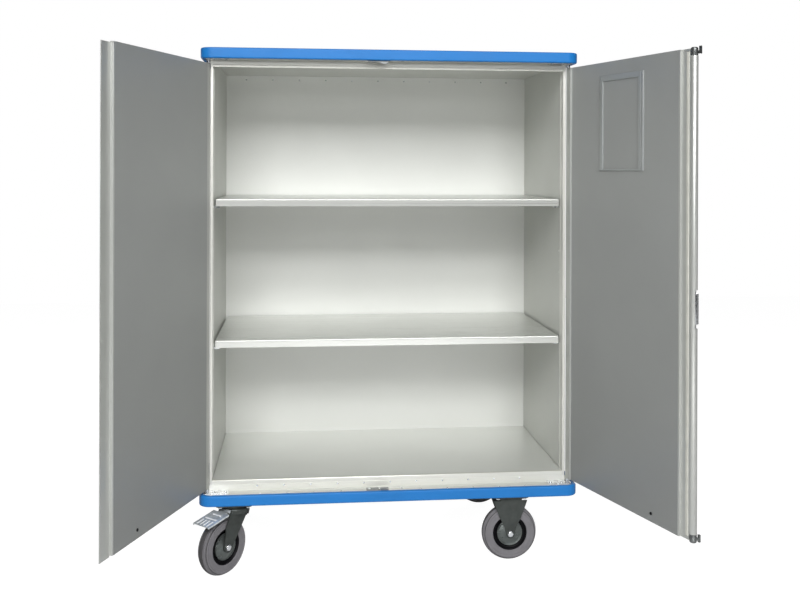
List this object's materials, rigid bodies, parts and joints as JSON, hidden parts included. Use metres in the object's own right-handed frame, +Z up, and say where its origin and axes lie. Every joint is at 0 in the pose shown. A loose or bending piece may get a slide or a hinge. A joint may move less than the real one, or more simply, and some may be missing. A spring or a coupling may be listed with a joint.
{
  "type": "housekeeping linen cabinet cart",
  "caption": "Tall closed linen cart: two-door metal cabinet with fixed shelves, wrap-round bumper rails at base and roof, a turning-rod door lock and swivel and fixed casters.",
  "frame": {"origin": "on the floor, in the middle of the outline of the cart with both doors standing open", "axes": "+X to the right along the front, +Y into the cabinet, +Z up"},
  "size_m": [1.7938, 1.3106, 1.84],
  "materials": {
    "blue_bumper": "satin",
    "anodised_profile": "satin",
    "silver_panel": "satin",
    "zinc_steel": "satin",
    "painted_steel": "satin",
    "fork_steel": "satin",
    "grey_tyre": "matte",
    "black_plastic": "satin",
    "seal_rubber": "matte"
  },
  "bodies": {
    "cabinet": {"base_frame": "painted_steel", "base_deck": "silver_panel", "bottom_bumper": "blue_bumper", "sill_profile": "anodised_profile", "floor_panel": "silver_panel", "left_side_panel": "silver_panel", "right_side_panel": "silver_panel", "back_panel": "silver_panel", "front_post_left": "anodised_profile", "front_post_right": "anodised_profile", "rear_posts": "anodised_profile", "header_profile": "anodised_profile", "roof_deck": "silver_panel", "top_frame": "painted_steel", "roof_sheet": "silver_panel", "top_bumper": "blue_bumper", "sill_rivets": "zinc_steel", "back_rivets": "zinc_steel", "shelf_studs": "zinc_steel", "hinge_brackets": "zinc_steel", "hinge_pins": "zinc_steel", "bottom_keeper": "zinc_steel", "top_keeper": "zinc_steel", "frame_screws": "zinc_steel", "upper_shelf": "anodised_profile", "lower_shelf": "anodised_profile", "fixed_fork_front": "fork_steel", "fixed_fork_rear": "fork_steel", "fixed_axles": "zinc_steel", "swivel_plates": "fork_steel", "caster_bolts": "zinc_steel"},
    "left_door": {"left_door_panel": "silver_panel", "left_door_edge": "anodised_profile", "left_hinge_profile": "anodised_profile", "left_door_stud": "black_plastic"},
    "right_door": {"right_door_panel": "silver_panel", "right_door_edge": "anodised_profile", "right_hinge_profile": "anodised_profile", "right_door_gasket": "seal_rubber", "right_door_stud": "black_plastic", "card_holder": "anodised_profile", "rod_guides": "black_plastic"},
    "lock_bar": {"lock_rod": "zinc_steel", "top_cam": "zinc_steel", "bottom_cam": "zinc_steel", "lock_handle": "zinc_steel"},
    "swivel_front": {"swivel_fork_front": "fork_steel", "swivel_axle_front": "zinc_steel"},
    "pedal_front": {"brake_pedal_front": "zinc_steel"},
    "swivel_rear": {"swivel_fork_rear": "fork_steel", "swivel_axle_rear": "zinc_steel"},
    "pedal_rear": {"brake_pedal_rear": "zinc_steel"},
    "wheel_front_left": {"tyre_front_left": "grey_tyre", "wheel_rim_front_left": "black_plastic"},
    "wheel_rear_left": {"tyre_rear_left": "grey_tyre", "wheel_rim_rear_left": "black_plastic"},
    "wheel_front_right": {"tyre_front_right": "grey_tyre", "wheel_rim_front_right": "black_plastic"},
    "wheel_rear_right": {"tyre_rear_right": "grey_tyre", "wheel_rim_rear_right": "black_plastic"}
  },
  "joints": [
    {"name": "left_door_hinge", "type": "hinge", "parent": "cabinet", "child": "left_door", "pos_m": [-0.64933, -0.0182, 1.038], "axis": [0, 0, -1], "range_deg": [-111, 154]},
    {"name": "right_door_hinge", "type": "hinge", "parent": "cabinet", "child": "right_door", "pos_m": [0.65067, -0.0182, 1.038], "axis": [0, 0, 1], "range_deg": [-107.8, 141.5]},
    {"name": "lock_turn", "type": "hinge", "parent": "right_door", "child": "lock_bar", "pos_m": [0.87096, -0.6438, 0.993], "axis": [0, 0, -1], "range_deg": [0, 90]},
    {"name": "swivel_front_turn", "type": "hinge", "parent": "cabinet", "child": "swivel_front", "pos_m": [-0.55233, -0.0157, 0.215], "axis": [0, 0, 1], "continuous": true},
    {"name": "pedal_front_press", "type": "hinge", "parent": "swivel_front", "child": "pedal_front", "pos_m": [-0.57825, -0.04349, 0.214], "axis": [0.7314, -0.682, 0], "range_deg": [0, 8]},
    {"name": "wheel_front_left_roll", "type": "hinge", "parent": "swivel_front", "child": "wheel_front_left", "pos_m": [-0.59325, -0.05958, 0.1], "axis": [0.7314, -0.682, 0], "continuous": true},
    {"name": "swivel_rear_turn", "type": "hinge", "parent": "cabinet", "child": "swivel_rear", "pos_m": [-0.55233, 0.5853, 0.215], "axis": [0, 0, 1], "continuous": true},
    {"name": "pedal_rear_press", "type": "hinge", "parent": "swivel_rear", "child": "pedal_rear", "pos_m": [-0.55233, 0.5473, 0.214], "axis": [1, 0, 0], "range_deg": [0, 8]},
    {"name": "wheel_rear_left_roll", "type": "hinge", "parent": "swivel_rear", "child": "wheel_rear_left", "pos_m": [-0.55233, 0.5253, 0.1], "axis": [1, 0, 0], "continuous": true},
    {"name": "wheel_front_right_roll", "type": "hinge", "parent": "cabinet", "child": "wheel_front_right", "pos_m": [0.43467, -0.0157, 0.1], "axis": [0, 1, 0], "continuous": true},
    {"name": "wheel_rear_right_roll", "type": "hinge", "parent": "cabinet", "child": "wheel_rear_right", "pos_m": [0.43467, 0.5853, 0.1], "axis": [0, 1, 0], "continuous": true}
  ]
}
